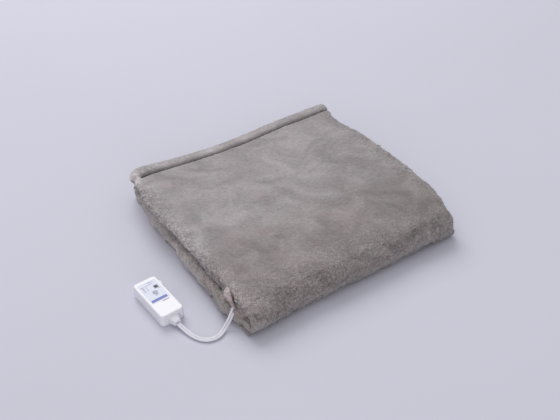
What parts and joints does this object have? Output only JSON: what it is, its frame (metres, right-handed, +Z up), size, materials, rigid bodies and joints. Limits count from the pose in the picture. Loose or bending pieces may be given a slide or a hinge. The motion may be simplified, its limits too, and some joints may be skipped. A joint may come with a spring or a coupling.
{
  "type": "folded electric heated throw",
  "caption": "Plush heated throw folded flat, its top panel opening about the rounded front fold, with a white hand controller on a short flat lead.",
  "frame": {"origin": "centre of the throw's flat underside, on the floor", "axes": "+X to the right along the front fold, +Y back towards the rolled hem, +Z up"},
  "size_m": [0.576, 0.4545, 0.065],
  "materials": {
    "plush_cloth": "long soft pile, grey-beige",
    "back_cloth": "short brushed knit, grey-beige",
    "seam_binding": "folded and overlocked edge",
    "wire_insulation": "soft plastic insulation",
    "connector_plastic": "satin moulded plastic",
    "dark_plastic": "moulded",
    "case_white": "fine satin moulded plastic",
    "label_film": "printed film",
    "button_grey": "satin moulded plastic",
    "lamp_lens": "clear smoked plastic",
    "lamp_resin": "clear resin",
    "board_green": "lacquered laminate",
    "capacitor_yellow": "moulded case",
    "fuse_glass": "clear tube",
    "terminal_green": "moulded",
    "screw_steel": "zinc plated",
    "cord_white": "soft satin insulation"
  },
  "bodies": {
    "throw_base": {"back_fold_back_cloth": "back_cloth", "back_fold_edge_seams": "seam_binding", "back_fold_face_cloth": "plush_cloth", "back_fold_heating_wire": "wire_insulation", "bottom_panel_back_cloth": "back_cloth", "bottom_panel_edge_seams": "seam_binding", "bottom_panel_face_cloth": "plush_cloth", "bottom_panel_heating_wire": "wire_insulation", "button_switch": "dark_plastic", "capacitor": "capacitor_yellow", "case_screws": "screw_steel", "circuit_board": "board_green", "connector_block": "connector_plastic", "control_chip": "dark_plastic", "control_cord": "cord_white", "controller_lower_case": "case_white", "controller_upper_case": "case_white", "cord_bush": "cord_white", "cord_clamp": "dark_plastic", "cord_sleeve": "plush_cloth", "face_label": "label_film", "front_fold_back_cloth": "back_cloth", "front_fold_edge_seams": "seam_binding", "front_fold_face_cloth": "plush_cloth", "front_fold_heating_wire": "wire_insulation", "fuse": "fuse_glass", "inner_hem": "plush_cloth", "inner_panel_back_cloth": "back_cloth", "inner_panel_edge_seams": "seam_binding", "inner_panel_face_cloth": "plush_cloth", "inner_panel_heating_wire": "wire_insulation", "mains_lead_gland": "connector_plastic", "overheat_protector": "dark_plastic", "pilot_lamp": "lamp_resin", "pilot_lamp_lens": "lamp_lens", "slide_switch_body": "dark_plastic", "terminal_block": "terminal_green", "triac": "dark_plastic"},
    "top_flap": {"top_panel_back_cloth": "back_cloth", "top_panel_edge_seams": "seam_binding", "top_panel_face_cloth": "plush_cloth", "top_panel_heating_wire": "wire_insulation", "rolled_hem": "plush_cloth"},
    "slide_control": {"slide_knob": "case_white", "slide_carriage": "dark_plastic"},
    "timer_push": {"timer_button": "button_grey"}
  },
  "joints": [
    {"name": "top_flap_fold", "type": "hinge", "parent": "throw_base", "child": "top_flap", "pos_m": [0, -0.201, 0.0325], "axis": [1, 0, 0], "range_deg": [0, 180], "deforming": ["front_fold_back_cloth", "front_fold_edge_seams", "front_fold_face_cloth", "front_fold_heating_wire"]},
    {"name": "heat_slide", "type": "slide", "parent": "throw_base", "child": "slide_control", "axis": [0.0619, -0.9981, 0], "range_m": [0, 0.024]},
    {"name": "timer_press", "type": "slide", "parent": "throw_base", "child": "timer_push", "axis": [0, 0, -1], "range_m": [0, 0.0008], "stiffness_N_per_m": 400}
  ]
}
